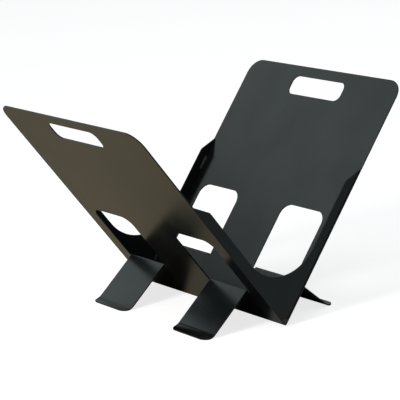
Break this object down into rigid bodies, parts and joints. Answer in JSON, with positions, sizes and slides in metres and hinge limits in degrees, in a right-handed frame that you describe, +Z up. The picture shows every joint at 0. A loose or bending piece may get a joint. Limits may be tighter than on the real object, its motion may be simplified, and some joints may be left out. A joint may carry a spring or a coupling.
{
  "type": "log holder",
  "caption": "V-shaped folded sheet steel firewood trough on folded-out feet, with end plates and a hand slot in each side.",
  "frame": {"origin": "on the floor, under the middle of the ridge", "axes": "+X across the V, +Y along the ridge towards the rear, +Z up"},
  "size_m": [0.488, 0.35, 0.3231],
  "materials": {
    "body_coat": "satin black powder coat on 2 mm steel sheet",
    "plate_coat": "satin black powder coat on 2 mm steel plate",
    "weld_coat": "weld bead under the same satin black powder coat"
  },
  "bodies": {
    "root": {"folded_body": "body_coat", "front_end_plate": "plate_coat", "rear_end_plate": "plate_coat", "front_plate_welds": "weld_coat", "rear_plate_welds": "weld_coat"}
  },
  "joints": []
}
